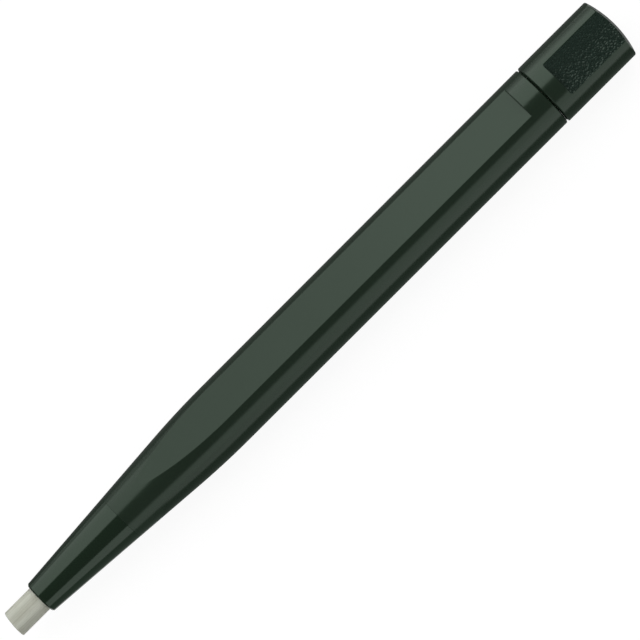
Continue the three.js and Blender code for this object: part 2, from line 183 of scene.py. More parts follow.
@dataclass(frozen=True)
class PenAxis:
    """Where the pen's axis lies in the frame.

    Attributes:
        front: X of the front of the nose, in metres.
        height: Z of the axis, in metres.
    """

    front: float
    height: float

    @classmethod
    def from_frame(cls) -> "PenAxis":
        """Reads the axis from the boxes of the nose and the cap.

        Returns:
            The axis.
        """
        nose_low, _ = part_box("nose_cone")
        cap_low, cap_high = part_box("twist_cap")
        return cls(nose_low.x, (cap_low.z + cap_high.z) / 2)

    def ends(self, node: str) -> tuple[float, float]:
        """Gives the stations between which a CAD node lies."""
        low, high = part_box(node)
        return (low.x - self.front) / MM, (high.x - self.front) / MM

    def place(self, station: np.ndarray, angle: np.ndarray, radius: np.ndarray) -> np.ndarray:
        """Turns places round the axis to points in the frame.

        The point is (station, -radius sin(angle), radius cos(angle)) about the axis.

        Args:
            station: Stations, in millimetres.
            angle: Angles from straight up towards -Y, in radians.
            radius: Distances from the axis, in millimetres.

        Returns:
            Points in metres, with X, Y and Z along the last axis.
        """
        station, angle, radius = np.broadcast_arrays(station, angle, radius)
        x = self.front + station * MM
        y = -radius * np.sin(angle) * MM
        z = self.height + radius * np.cos(angle) * MM
        return np.stack([x, y, z], axis=-1)

    def enclose(
        self,
        name: str,
        station: np.ndarray,
        angle: np.ndarray,
        radius: np.ndarray,
        poles: tuple[float, float] | None = None,
    ) -> bpy.types.Object:
        """Makes a closed mesh from a grid of places that wraps round the axis.

        The face at row i and column j joins points (i, j), (i, j+1), (i+1, j+1) and (i+1, j).
        Columns always wrap. Rows wrap too, as on a ring, or else a fan of triangles closes each
        end at a pole. The four-sided faces come first, row by row.

        Args:
            name: Name of the new piece.
            station: Stations, with rows running outside towards +X.
            angle: Angles round the axis.
            radius: Distances from the axis.
            poles: Stations of the end points before the first row and after the last, or None
                to wrap the rows.

        Returns:
            The new object.
        """
        points = self.place(station, angle, radius)
        rows, columns, _ = points.shape
        row_starts = np.arange(rows if poles is None else rows - 1)
        here = row_starts[:, None] * columns
        there = ((row_starts + 1) % rows)[:, None] * columns
        left = np.arange(columns)[None, :]
        right = (left + 1) % columns
        quads = np.stack([here + left, here + right, there + right, there + left], axis=-1)
        faces = quads.reshape(-1, 4).tolist()
        vertices = points.reshape(-1, 3)
        if poles is not None:
            ends = self.place(np.array(poles), np.zeros(2), np.zeros(2))
            vertices = np.vstack([vertices, ends])
            first_pole = np.full(columns, rows * columns)
            around, onward = left.ravel(), right.ravel()
            last_row = (rows - 1) * columns
            faces += np.stack([first_pole, onward, around], axis=-1).tolist()
            end_fan = [last_row + around, last_row + onward, first_pole + 1]
            faces += np.stack(end_fan, axis=-1).tolist()
        return add_mesh(name, vertices, faces, SHELL_SHARP)


@dataclass(frozen=True)
class FlattedSection:
    """A round section with two opposite flats, whose edges are slightly rounded.

    Attributes:
        distance: From the axis to each flat.
        edge: Radius of the rounding between a flat and the round side.
        turn: Angle at which the first flat faces, in degrees.
        flat_step: Widest gap between points across a flat.
        round_step: Widest gap between points round the side.
        least_half_width: Half the width that the flats' columns of points keep where the flats
            themselves are narrower or end.
        edge_points: Number of points over each edge.
    """

    distance: float
    edge: float
    turn: float
    flat_step: float
    round_step: float
    least_half_width: float = 0.9
    edge_points: int = 5

    def half_width(self, radius: np.ndarray) -> np.ndarray:
        """Gives half a flat's width on a round: sqrt((R - e)^2 - (d - e)^2), or 0 where it misses it."""
        long_side = np.maximum(radius - self.edge, self.distance - self.edge)
        return np.sqrt(long_side**2 - (self.distance - self.edge) ** 2)

    def angles(self, radius: np.ndarray) -> np.ndarray:
        """Spaces points round the section, closest over the edges of the flats.

        A quarter turn has three runs: across half a flat, over its edge and round the side. It is
        mirrored to a half turn, which is repeated.

        Args:
            radius: Radius of each row, or the radius whose columns the row shares.

        Returns:
            Angles in radians, rows by columns.
        """
        half = np.maximum(self.half_width(radius), self.least_half_width)[:, None]
        flat_end = np.arctan2(half, self.distance)
        edge_end = np.arctan2(half, self.distance - self.edge)
        flat_count = math.ceil(float(half.max()) / self.flat_step)
        round_count = math.ceil(float(radius.max()) * QUARTER / self.round_step)
        across = np.linspace(0, 1, flat_count + 1)[None, :]
        flat_run = np.arctan2(half * across, self.distance)
        over = np.linspace(1 / self.edge_points, 1, self.edge_points)[None, :]
        edge_run = flat_end + (edge_end - flat_end) * over
        share = np.linspace(0, 1, round_count + 1)[None, 1:]
        round_run = edge_end + (QUARTER - edge_end) * share
        quarter = np.hstack([flat_run, edge_run, round_run])
        half_turn = np.hstack([quarter, math.pi - quarter[:, -2:0:-1]])
        whole = np.hstack([half_turn, half_turn + math.pi])
        return whole + math.radians(self.turn)

    def from_middle(self, angle: np.ndarray) -> np.ndarray:
        """Gives the angle from the nearer flat's middle, up to a quarter turn either way."""
        return (angle - math.radians(self.turn) + QUARTER) % math.pi - QUARTER

    def reach(self, angle: np.ndarray, radius: np.ndarray) -> np.ndarray:
        """Works out the distance from the axis to the flatted section.

        It is d / cos(a) on the flat, R round the side, and between them the far side of a circle
        of radius e whose centre lies c = R - e from the axis at angle b: c cos(a - b) +
        sqrt(e^2 - c^2 sin^2(a - b)).

        Args:
            angle: Angles round the axis.
            radius: Radius of the round section.

        Returns:
            Distances from the axis, no more than the radius.
        """
        half = self.half_width(radius)
        folded = np.abs(self.from_middle(angle))
        flat_end = np.arctan2(half, self.distance)
        edge_end = np.arctan2(half, self.distance - self.edge)
        centre = np.hypot(half, self.distance - self.edge)
        away = folded - edge_end
        under_root = np.maximum(self.edge**2 - (centre * np.sin(away)) ** 2, 0)
        over_edge = centre * np.cos(away) + np.sqrt(under_root)
        on_flat = self.distance / np.cos(np.minimum(folded, flat_end))
        reach = np.where(folded <= flat_end, on_flat, np.where(folded < edge_end, over_edge, radius))
        return np.where(radius > self.distance, np.minimum(reach, radius), radius)


def add_node(
    tree: bpy.types.NodeTree, kind: str, inputs: dict | None = None, settings: dict | None = None
) -> bpy.types.bpy_prop_collection:
    """Adds a shader node with its settings and links.

    Args:
        tree: The material's or world's node tree.
        kind: The node's type without its "ShaderNode", such as "TexNoise".
        inputs: For an input's name or number, a value or another node's output.
        settings: Values of the node's own properties.

    Returns:
        The new node's outputs.
    """
    node = tree.nodes.new("ShaderNode" + kind)
    for name, value in (settings or {}).items():
        setattr(node, name, value)
    for name, value in (inputs or {}).items():
        if isinstance(value, bpy.types.NodeSocket):
            tree.links.new(value, node.inputs[name])
        else:
            node.inputs[name].default_value = value
    return node.outputs


def empty_material(name: str) -> tuple[bpy.types.Material, bpy.types.NodeTree]:
    """Makes a material with no nodes.

    Args:
        name: Name of the material.

    Returns:
        The material and its node tree.
    """
    material = bpy.data.materials.new(name)
    material.use_nodes = True
    material.node_tree.nodes.clear()
    return material, material.node_tree


def fade_along_x(
    tree: bpy.types.NodeTree, space: str, ends: tuple[float, float], values: tuple[float, float]
) -> bpy.types.NodeSocket:
    """Adds a value that changes evenly between two places along X.

    Args:
        tree: The node tree.
        space: The kind of coordinates, such as "Object".
        ends: The two X values.
        values: The value up to the first of them, and from the second.

    Returns:
        The value's output.
    """
    place = add_node(tree, "TexCoord")[space]
    limits = {"From Min": ends[0], "From Max": ends[1], "To Min": values[0], "To Max": values[1]}
    x = add_node(tree, "SeparateXYZ", {"Vector": place})["X"]
    return add_node(tree, "MapRange", {"Value": x, **limits})["Result"]


class Lay(Enum):
    """The way a pattern runs, as its scale along X, Y and Z: a small one draws it out."""

    EVEN = (1.0, 1.0, 1.0)
    TURNED = (1.0, 0.02, 0.02)
    DRAWN = (0.02, 1.0, 1.0)
    STRANDED = (0.1, 1.0, 1.0)


@dataclass(frozen=True)
class Pattern:
    """A noise of a real size on the piece's Object coordinates.

    Attributes:
        size: Size of a spot or pitch of the lines, in millimetres.
        detail: Number of finer noises laid over it.
        roughness: Strength of each of those against the one before.
        lay: The way that the pattern runs.
        tint: Name of an attribute that makes up half of the pattern, or "" for noise alone.
    """

    size: float
    detail: float = 2.0
    roughness: float = 0.5
    lay: Lay = Lay.EVEN
    tint: str = ""

    def draw(self, tree: bpy.types.NodeTree) -> bpy.types.NodeSocket:
        """Adds the pattern to a material.

        Args:
            tree: The material's node tree.

        Returns:
            The pattern's output, from 0 to 1.
        """
        place = add_node(tree, "TexCoord")["Object"]
        if self.lay is not Lay.EVEN:
            place = add_node(tree, "Mapping", {"Vector": place, "Scale": self.lay.value})["Vector"]
        spots = {"Scale": 1 / (self.size * MM), "Detail": self.detail, "Roughness": self.roughness}
        noise = add_node(tree, "TexNoise", {"Vector": place, **spots})["Fac"]
        if not self.tint:
            return noise
        own = add_node(tree, "Attribute", settings={"attribute_name": self.tint})["Fac"]
        return add_node(tree, "Mix", {"Factor": 0.5, "A": noise, "B": own})["Result"]


@dataclass(frozen=True)
class Finish:
    """A surface: two colours blended by clouds, a roughness that varies, and a fine relief.

    Attributes:
        name: Name of the material.
        colours: Its colours at the clouds' two ends, sRGB hex.
        roughness: Its least and its greatest roughness.
        clouds: The pattern that blends the colours.
        reliefs: Patterns that raise the surface, each with its height in millimetres.
        dulled_by: The pattern that the roughness follows, or None for the clouds.
        relief_strength: How strongly the reliefs turn the light.
        metallic: 1 for a metal.
        ior: Refractive index.
        sheen: Colour that the mirrored light takes on, sRGB hex.
        subsurface: Share of light that passes through the skin.
        depth: How far red, green and blue light then reach, in millimetres.
    """

    name: str
    colours: tuple[str, str]
    roughness: tuple[float, float]
    clouds: Pattern
    reliefs: tuple[tuple[Pattern, float], ...]
    dulled_by: Pattern | None = None
    relief_strength: float = 1.0
    metallic: float = 0.0
    ior: float = 1.5
    sheen: str = "ffffff"
    subsurface: float = 0.0
    depth: tuple[float, float, float] = (0.5, 0.45, 0.4)

    @cache
    def material(self) -> bpy.types.Material:
        """Builds the material, with each of its patterns drawn once.

        Returns:
            The material, the same one at every call.
        """
        material, tree = empty_material(self.name)
        dulled_by = self.dulled_by or self.clouds
        patterns = [self.clouds, dulled_by, *(pattern for pattern, _ in self.reliefs)]
        drawn = {pattern: pattern.draw(tree) for pattern in dict.fromkeys(patterns)}
        low, high = map(linear, self.colours)
        blend = {"Factor": drawn[self.clouds], LOW_COLOUR: low, HIGH_COLOUR: high}
        dullness = {"Value": drawn[dulled_by], "To Min": self.roughness[0], "To Max": self.roughness[1]}
        normal = {}
        for pattern, height in self.reliefs:
            relief = {"Height": drawn[pattern], "Distance": height * MM, "Strength": self.relief_strength}
            normal = {"Normal": add_node(tree, "Bump", {**relief, **normal})["Normal"]}
        inputs = {
            "Base Color": add_node(tree, "Mix", blend, {"data_type": "RGBA"})[MIXED_COLOUR],
            "Roughness": add_node(tree, "MapRange", dullness)["Result"],
            "Metallic": self.metallic,
            "IOR": self.ior,
            "Specular Tint": linear(self.sheen),
            "Subsurface Weight": self.subsurface,
            "Subsurface Scale": MM,
            "Subsurface Radius": self.depth,
        }
        shader = add_node(tree, "BsdfPrincipled", {**inputs, **normal})["BSDF"]
        add_node(tree, "OutputMaterial", {"Surface": shader})
        return material


# Hairlines that handling leaves along the pen.
HAIRLINES = Pattern(0.3, lay=Lay.DRAWN)

# Injection-moulded ABS, dark green, from a finely stoned mould: its reflections are soft-edged and
# faintly green from the pigment at its skin. Flow leaves faint clouds in it.
SATIN_ABS = Finish(
    name="satin_moulded_abs",
    colours=("1b281d", "1f2c21"),
    roughness=(0.17, 0.22),
    clouds=Pattern(6.0, 3.0, 0.55),
    reliefs=((Pattern(0.15, 2.0, 0.6), 0.0008), (HAIRLINES, 0.0006)),
    ior=1.56,
    sheen="e7ffec",
)

# The same ABS from a polished mould: its reflections have clear edges.
GLOSS_ABS = Finish(
    name="gloss_moulded_abs",
    colours=("132215", "152417"),
    roughness=(0.11, 0.14),
    clouds=Pattern(4.0, 3.0, 0.55),
    reliefs=((Pattern(0.2, 2.0, 0.6), 0.0005), (HAIRLINES, 0.0004)),
    ior=1.66,
    sheen="e7ffec",
)

# The same ABS from a spark-eroded face of the mould: dull, with a pebbled skin. The pebbles are
# drawn a little coarser than the real ones, so that they show.
SPARKED_ABS = Finish(
    name="spark_textured_abs",
    colours=("0b140f", "20312a"),
    roughness=(0.2, 0.28),
    clouds=Pattern(0.24, 3.0, 0.55),
    reliefs=((Pattern(0.2, 2.0, 0.6), 0.016),),
    ior=1.56,
    sheen="e7ffec",
)

# Natural nylon, slightly waxy: light passes a little way into it.
NATURAL_NYLON = Finish(
    name="natural_nylon",
    colours=("e2ddcc", "ebe7da"),
    roughness=(0.42, 0.5),
    clouds=Pattern(2.0, 3.0, 0.55),
    reliefs=((Pattern(0.12, 2.0, 0.6), 0.003), (HAIRLINES, 0.002)),
    ior=1.53,
    subsurface=0.2,
)

# Nitrile rubber, dull black with a fine dusty bloom.
NITRILE_RUBBER = Finish(
    name="nitrile_rubber",
    colours=("161616", "222221"),
    roughness=(0.65, 0.8),
    clouds=Pattern(0.6, 3.0, 0.55),
    reliefs=((Pattern(0.08, 2.0, 0.6), 0.004),),
)


def worked_metal(name: str, colours: tuple[str, str], roughness: float, marks: Pattern) -> Finish:
    """Makes the finish of a machined or drawn metal, with tool marks and slightly cloudy tarnish.

    Args:
        name: Name of the material.
        colours: Its clean and its tarnished colour, sRGB hex.
        roughness: Its least roughness.
        marks: The tool marks, which the roughness follows.

    Returns:
        The finish.
    """
    mark_height = 0.004
    dulling = 0.15
    limits = (roughness, roughness + dulling)
    tarnish = Pattern(2.0, 3.0)
    reliefs = ((marks, mark_height),)
    return Finish(name, colours, limits, tarnish, reliefs, dulled_by=marks, metallic=1.0)


# Turned free-cutting brass: a warm metal with fine rings from the tool.
TURNED_BRASS = worked_metal("turned_brass", ("c9a65a", "a88444"), 0.24, Pattern(0.08, lay=Lay.TURNED))

# Drawn aluminium tube: pale metal with dull lines along it.
DRAWN_ALUMINIUM = worked_metal("drawn_aluminium", ("c6c8ca", "aeb1b4"), 0.32, Pattern(0.1, lay=Lay.DRAWN))

# Bright steel wire and strip, lightly oiled: grey metal with lines along it.
DRAWN_STEEL = worked_metal("drawn_steel", ("b4b6b9", "97999c"), 0.25, Pattern(0.07, lay=Lay.DRAWN))

# Loose glass fibre: thousands of fine threads, drawn here as coarser ones so that they show.
LOOSE_STREAKS = Pattern(0.25, 3.0, 0.6, Lay.STRANDED, "fibre_tint")
LOOSE_FIBRE = Finish(
    name="loose_glass_fibre",
    colours=("b1b19d", "fcfff4"),
    roughness=(0.5, 0.6),
    clouds=LOOSE_STREAKS,
    reliefs=((LOOSE_STREAKS, 0.01),),
    relief_strength=0.6,
)

# The same fibre bound with resin to a solid stick: smoother and a little yellower.
BOUND_STREAKS = Pattern(0.2, 3.0, 0.6, Lay.STRANDED)
BOUND_FIBRE = Finish(
    name="resin_bound_glass_fibre",
    colours=("b9b6a4", "dedbcb"),
    roughness=(0.4, 0.5),
    clouds=BOUND_STREAKS,
    reliefs=((BOUND_STREAKS, 0.01),),
    relief_strength=0.6,
    subsurface=0.1,
    depth=(0.4, 0.38, 0.34),
)


def give(
    piece: bpy.types.Object, finishes: list[Finish], body: str, slot: str, *nodes: str
) -> bpy.types.Object:
    """Dresses a piece, fixes it to its body and hides the CAD nodes that it stands for.

    Args:
        piece: The new piece.
        finishes: Its finishes, in the order of its faces' material numbers.
        body: The body that it rides on.
        slot: Not used.
        nodes: The CAD nodes that it replaces.

    Returns:
        The same piece.
    """
    for finish in finishes:
        piece.data.materials.append(finish.material())
    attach(piece, body)
    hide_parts(*nodes)
    return piece


@dataclass
class Nose:
    """The tapered nose, a smooth cone whose bore lets the refill out.

    Attributes:
        tip_radius: Outer radius that the cone would have at its front.
        slope: Growth of the radius for each millimetre along the axis.
        tip_bevel: Bevel round the front, which falls at 45 degrees.
        tip_edge: Radius of the rounding of the bevel's two edges.
        seam_chamfer: Bevel at the seam with the barrel.
        bore_radius: Radius of the hole that the refill passes through.
        bore_length: Length of that hole.
        chamber_radius: Radius of the wider space behind the hole.
        spigot_radius: Radius of the plug that fits into the barrel.
        spigot_chamfer: Bevel at the plug's end.
        seam: Station of the seam with the barrel.
        columns: Number of points round the nose.
    """

    tip_radius: float = 2.6
    slope: float = 2.355 / 31.6
    tip_bevel: float = 0.22
    tip_edge: float = 0.04
    seam_chamfer: float = 0.02
    bore_radius: float = 2.2
    bore_length: float = 6.0
    chamber_radius: float = 2.55
    spigot_radius: float = 2.95
    spigot_chamfer: float = 0.12
    seam: float = 15.9
    columns: int = 192

    def radius(self, station: np.ndarray) -> np.ndarray:
        """Gives the cone's radius: tip radius + slope * station."""
        return self.tip_radius + self.slope * station

    def outline(self, end: float) -> np.ndarray:
        """Lists the outline as (station, radius), from the front edge over the outside and back.

        The arc at each edge of the bevel meets its sides e tan(22.5) from their corner, with e
        the arc's radius.

        Args:
            end: Station of the plug's end.

        Returns:
            Points of a closed outline.
        """
        edge = self.tip_edge
        setback = edge * math.tan(QUARTER / 4)
        outer = float(self.radius(self.tip_bevel))
        cone = spread(self.tip_bevel + 0.1, self.seam - self.seam_chamfer, 0.25)
        seam_radius = float(self.radius(self.seam))
        points = [
            *rounded_corner((edge, outer - self.tip_bevel - setback), edge, 180, 135),
            *rounded_corner((self.tip_bevel + setback, outer - edge), edge, 135, 90),
            *zip(cone, self.radius(cone)),
            (self.seam, seam_radius - self.seam_chamfer),
            *crosswise(self.seam, seam_radius - 0.1, self.spigot_radius + 0.05, 0.3),
            (self.seam, self.spigot_radius),
            *lengthwise(self.seam + 0.2, end - self.spigot_chamfer, 1.0, self.spigot_radius),
            (end, self.spigot_radius - self.spigot_chamfer),
            *bore(end, self.bore_length, 1.0, self.chamber_radius, gap=0.3),
            *bore(self.bore_length, 0.0, 0.6, self.bore_radius, gap=0.3),
        ]
        return np.array(points)

    def build(self, axis: PenAxis) -> bpy.types.Object:
        """Spins the outline round the axis and dresses it.

        Args:
            axis: The pen's axis in the frame.

        Returns:
            The finished piece.
        """
        outline = self.outline(axis.ends("nose_cone")[1])
        angles = np.linspace(0, FULL_TURN, self.columns, endpoint=False)
        piece = axis.enclose("nose_shell", outline[:, :1], angles, outline[:, 1:])
        return give(piece, [GLOSS_ABS], "barrel", "nose_plastic", "nose_cone")


@dataclass
class Barrel:
    """The barrel: a smooth shoulder into the taper, two long flats and a round collar.

    Attributes:
        front_radius: Radius just behind the shoulder.
        rear_radius: Radius at the rear end.
        corner: Station where the taper and the straight side would meet.
        blend: How far the shoulder's curve reaches to either side of that corner.
        shoulder_points: Number of points along that curve.
        collar: Length of the round collar behind the flats.
        flat_ramp: Length over which a flat's end rises to the collar.
        end_chamfer: Bevel round the rear end.
        socket_radius: Radius of the socket for the nose's plug.
        socket_clearance: How far the socket reaches past the plug's end.
        front_bore_radius: Radius of the bore round the push tube.
        main_bore_radius: Radius of the bore round the sleeve.
        seat_radius: Radius of the seat for the bush.
        section: The flatted section.
    """

    front_radius: float = 4.955
    rear_radius: float = 5.03
    corner: float = 31.6
    blend: float = 5.0
    shoulder_points: int = 41
    collar: float = 3.15
    flat_ramp: float = 0.1
    end_chamfer: float = 0.12
    socket_radius: float = 3.0
    socket_clearance: float = 0.1
    front_bore_radius: float = 2.75
    main_bore_radius: float = 3.1
    seat_radius: float = 3.35
    section: FlattedSection = FlattedSection(4.16, 0.16, turn=0.0, flat_step=0.2, round_step=0.12)

    def shoulder(self, nose: Nose) -> np.ndarray:
        """Lists the shoulder as (station, radius), on a curve between the taper and the side.

        The curve is (1 - t)^2 A + 2 t (1 - t) B + t^2 C, with A on the taper, B its corner and C
        on the straight side.

        Args:
            nose: The nose, whose cone the taper carries on.

        Returns:
            Points from the taper to the straight side.
        """
        start = self.corner - self.blend
        a = np.array([start, float(nose.radius(start))])
        b = np.array([self.corner, self.front_radius])
        c = np.array([self.corner + self.blend, self.front_radius])
        t = np.linspace(0, 1, self.shoulder_points)[:, None]
        return (1 - t) ** 2 * a + 2 * t * (1 - t) * b + t**2 * c

    def outline(self, axis: PenAxis, nose: Nose) -> tuple[np.ndarray, int]:
        """Lists the outline as (station, radius), from the seam over the outside and back inside.

        Args:
            axis: The pen's axis in the frame.
            nose: The nose, whose cone the taper carries on.

        Returns:
            Points of a closed outline, and how many of them, from the first, lie on the outside.
        """
        front, end = axis.ends("barrel")
        sleeve_front, _ = axis.ends("guide_sleeve")
        bush_front, _ = axis.ends("bearing_bush")
        socket_end = axis.ends("nose_cone")[1] + self.socket_clearance
        seam_radius = float(nose.radius(front))
        shoulder = self.shoulder(nose)
        taper = spread(front + nose.seam_chamfer, shoulder[0, 0] - 0.1, 0.2)
        flat_end = end - self.collar
        ramp = self.flat_ramp
        side = np.concatenate(
            [
                spread(shoulder[-1, 0] + 0.5, flat_end - 1.0, 0.8),
                spread(flat_end - 0.5, flat_end - ramp, 0.2),
                spread(flat_end - 0.8 * ramp, flat_end, 0.2 * ramp),
                spread(flat_end + 0.1, end - self.end_chamfer, 0.4),
            ]
        )
        growth = (self.rear_radius - self.front_radius) / (end - shoulder[-1, 0])
        outside = [
            (front, seam_radius - nose.seam_chamfer),
            *zip(taper, nose.radius(taper)),
            *map(tuple, shoulder),
            *zip(side, self.front_radius + growth * (side - shoulder[-1, 0])),
            (end, self.rear_radius - self.end_chamfer),
        ]
        inside = [
            *crosswise(end, self.rear_radius - 0.2, self.seat_radius + 0.1, 0.4),
            *bore(end, bush_front, 1.5, self.seat_radius, gap=0.4),
            *bore(bush_front, sleeve_front, 3.0, self.main_bore_radius, gap=0.4),
            *bore(sleeve_front, socket_end, 3.0, self.front_bore_radius, gap=0.4),
            *bore(socket_end, front, 1.0, self.socket_radius, gap=0.4),
            (front, (self.socket_radius + seam_radius) / 2),
        ]
        return np.array(outside + inside), len(outside)

    def build(self, axis: PenAxis, nose: Nose) -> bpy.types.Object:
        """Carries the flatted section along the outline and dresses it.

        Outside, the distance from the axis is the flatted section's reach, eased to the round
        radius over the flats' rear ends. Inside it is the outline's radius.

        Args:
            axis: The pen's axis in the frame.
            nose: The nose, whose cone the taper carries on.

        Returns:
            The finished piece.
        """
        outline, outside = self.outline(axis, nose)
        stations, radii = outline[:, :1], outline[:, 1:]
        ends = [float(stations.min()), float(stations.max())]
        column_radii = np.interp(stations.ravel(), ends, [self.section.distance, self.rear_radius])
        column_radii[:outside] = radii[:outside, 0]
        angles = self.section.angles(column_radii)
        flat_end = axis.ends("barrel")[1] - self.collar
        rise = smooth_step((stations - flat_end + self.flat_ramp) / self.flat_ramp)
        flatted = self.section.reach(angles, radii)
        reach = flatted + (radii - flatted) * rise
        reach[outside:] = radii[outside:]
        piece = axis.enclose("barrel_shell", stations, angles, reach)
        return give(piece, [SATIN_ABS], "barrel", "barrel_plastic", "barrel")


@dataclass
class TwistCap:
    """The twist cap, with two opposite sunk grip faces that run out at its domed end.

    Attributes:
        radius: Outer radius.
        dome: Height of the dome on its end.
        edge: Radius of the rounding between the side and the dome.
        neck: Length of the narrower neck that runs against the barrel's end.
        neck_radius: Radius of the neck where it leaves the cap's front.
        neck_fall: How much narrower the neck is at its own front.
        front_chamfer: Bevel round the front.
        bore_radius: Radius of the blind bore for the hub.
        end_wall: Thickness of the closed end.
        grip_offset: From the cap's front to the front of the grip faces.
        grip_ramp: Length over which the front wall of a grip face rises.
        corner: Radius of the grip faces' front corners.
        corner_inset: How far the corners' straight sides lie outside the face's own edges.
        corner_fade: How far from the front wall its round corners still move points.
        pit: Size of the grip faces' pits.
        pit_depth: Depth that the deepest pits would have if it were even across a face.
        pit_share: Share of that depth at one side of a face.
        pit_growth: How much that share grows towards the other side.
        pit_growth_width: Width over which it grows.
        side_margin: Width over which the pits set in at a face's sides.
        front_margin: Length over which they set in behind its front wall.
        section: The section with the two grip faces.
    """

    radius: float = 5.08
    dome: float = 0.84
    edge: float = 0.25
    neck: float = 0.15
    neck_radius: float = 4.84
    neck_fall: float = 0.2
    front_chamfer: float = 0.12
    bore_radius: float = 3.1
    end_wall: float = 2.2
    grip_offset: float = 2.55
    grip_ramp: float = 0.08
    corner: float = 0.55
    corner_inset: float = 0.13
    corner_fade: float = 1.2
    pit: float = 0.13
    pit_depth: float = 0.075
    pit_share: float = 0.35
    pit_growth: float = 1.15
    pit_growth_width: float = 6.0
    side_margin: float = 0.08
    front_margin: float = 0.15
    section: FlattedSection = FlattedSection(4.16, 0.05, turn=21.7, flat_step=0.075, round_step=0.16)

    def outline(self, front: float, end: float) -> tuple[np.ndarray, int, int]:
        """Lists the outline as (station, radius), from the bore's floor over the outside.

        The dome is a ball of radius D about the axis, and the edge's arc starts where their
        slopes agree: sin(b) = (R - e) / (D - e), with R the cap's radius and e the edge.

        Args:
            front: Station of the cap's front edge, behind the neck.
            end: Station of the dome's middle.

        Returns:
            The points, and the numbers of the first point outside and of the first on the dome.
        """
        ball = (self.radius**2 + self.dome**2) / (2 * self.dome)
        slope = math.asin((self.radius - self.edge) / (ball - self.edge))
        edge_station = end - ball + (ball - self.edge) * math.cos(slope)
        grip_front = front + self.grip_offset
        ramp = self.grip_ramp
        floor = end - self.end_wall
        neck_front = front - self.neck
        neck_front_radius = self.neck_radius - self.neck_fall
        inside = [
            *crosswise(floor, 0.4, self.bore_radius - 0.1, 0.6),
            (floor, self.bore_radius),
            *lengthwise(floor - 0.3, front, 1.0, self.bore_radius),
            (neck_front, self.bore_radius),
            *crosswise(neck_front, self.bore_radius + 0.3, neck_front_radius, 0.4),
            (front, self.neck_radius),
            (front, (self.neck_radius + self.radius - self.front_chamfer) / 2),
            (front, self.radius - self.front_chamfer),
        ]
        # At 90 degrees the arc would repeat the side's last point.
        arc_start = 84
        arc_centre = (edge_station, self.radius - self.edge)
        side = [
            *lengthwise(front + self.front_chamfer, grip_front - 0.5, 0.3, self.radius),
            *lengthwise(grip_front - 0.4, grip_front - 0.02, 0.08, self.radius),
            *lengthwise(grip_front, grip_front + ramp, 0.2 * ramp, self.radius),
            *lengthwise(grip_front + ramp + 0.06, edge_station, 0.075, self.radius),
            *rounded_corner(arc_centre, self.edge, arc_start, math.degrees(slope)),
        ]
        dome_start = ball * math.sin(slope)
        dome_radii = np.concatenate(
            [
                spread(dome_start - 0.02, self.section.distance - 0.1, 0.04),
                spread(self.section.distance - 0.25, 0.25, 0.25),
            ]
        )
        dome = zip(end - ball + np.sqrt(ball**2 - dome_radii**2), dome_radii)
        return np.array([*inside, *side, *dome]), len(inside), len(inside) + len(side)

    def corner_shift(self, angles: np.ndarray, past_wall: np.ndarray) -> np.ndarray:
        """Works out how far the grip faces' round front corners move the points back.

        At a distance w sideways past the start of a corner of radius c, the wall lies
        c - sqrt(c^2 - w^2) further back. The move fades to nothing away from the wall.

        Args:
            angles: Angles of the points.
            past_wall: How far behind the grip faces' front wall they lie.

        Returns:
            Moves along the axis, in millimetres.
        """
        chord = math.sqrt(self.radius**2 - self.section.distance**2)
        half_width = chord + self.corner_inset
        sideways = np.minimum(self.radius * np.sin(np.abs(self.section.from_middle(angles))), chord)
        past = np.clip(sideways - (half_width - self.corner), 0, self.corner)
        back = self.corner - np.sqrt(self.corner**2 - past**2)
        return back * (1 - smooth_step(np.abs(past_wall) / self.corner_fade))

    def pits(
        self, angles: np.ndarray, stations: np.ndarray, radii: np.ndarray, past_wall: np.ndarray
    ) -> np.ndarray:
        """Works out how deep the grip faces' pits cut.

        It is the cube of lattice noise over (station, sideways), so that deep pits are few. It
        sets in over the faces' margins, and grows smoothly from one side of a face to the other.

        Args:
            angles: Angles of the points.
            stations: Stations of the points.
            radii: The outline's radius at each station.
            past_wall: How far behind the grip faces' front wall the stations lie.

        Returns:
            Depths in millimetres, 0 outside the faces.
        """
        # No grip face reaches this angle, past which the tangent grows without end.
        widest_angle = 1.2
        from_middle = np.clip(self.section.from_middle(angles), -widest_angle, widest_angle)
        sideways = self.section.distance * np.tan(from_middle)
        half = self.section.half_width(radii)
        inward = np.clip((half - np.abs(sideways)) / self.side_margin, 0, 1)
        inward = inward * np.clip((past_wall - self.grip_ramp) / self.front_margin, 0, 1)
        inward = inward * (radii > self.section.distance)
        # The offset of 40 cells only picks a part of the lattice.
        noise = lattice_noise(stations / self.pit, sideways / self.pit + 40, 7) ** 3
        across = smooth_step(sideways / self.pit_growth_width + 0.5)
        return self.pit_depth * (noise * (self.pit_share + self.pit_growth * across)) * inward

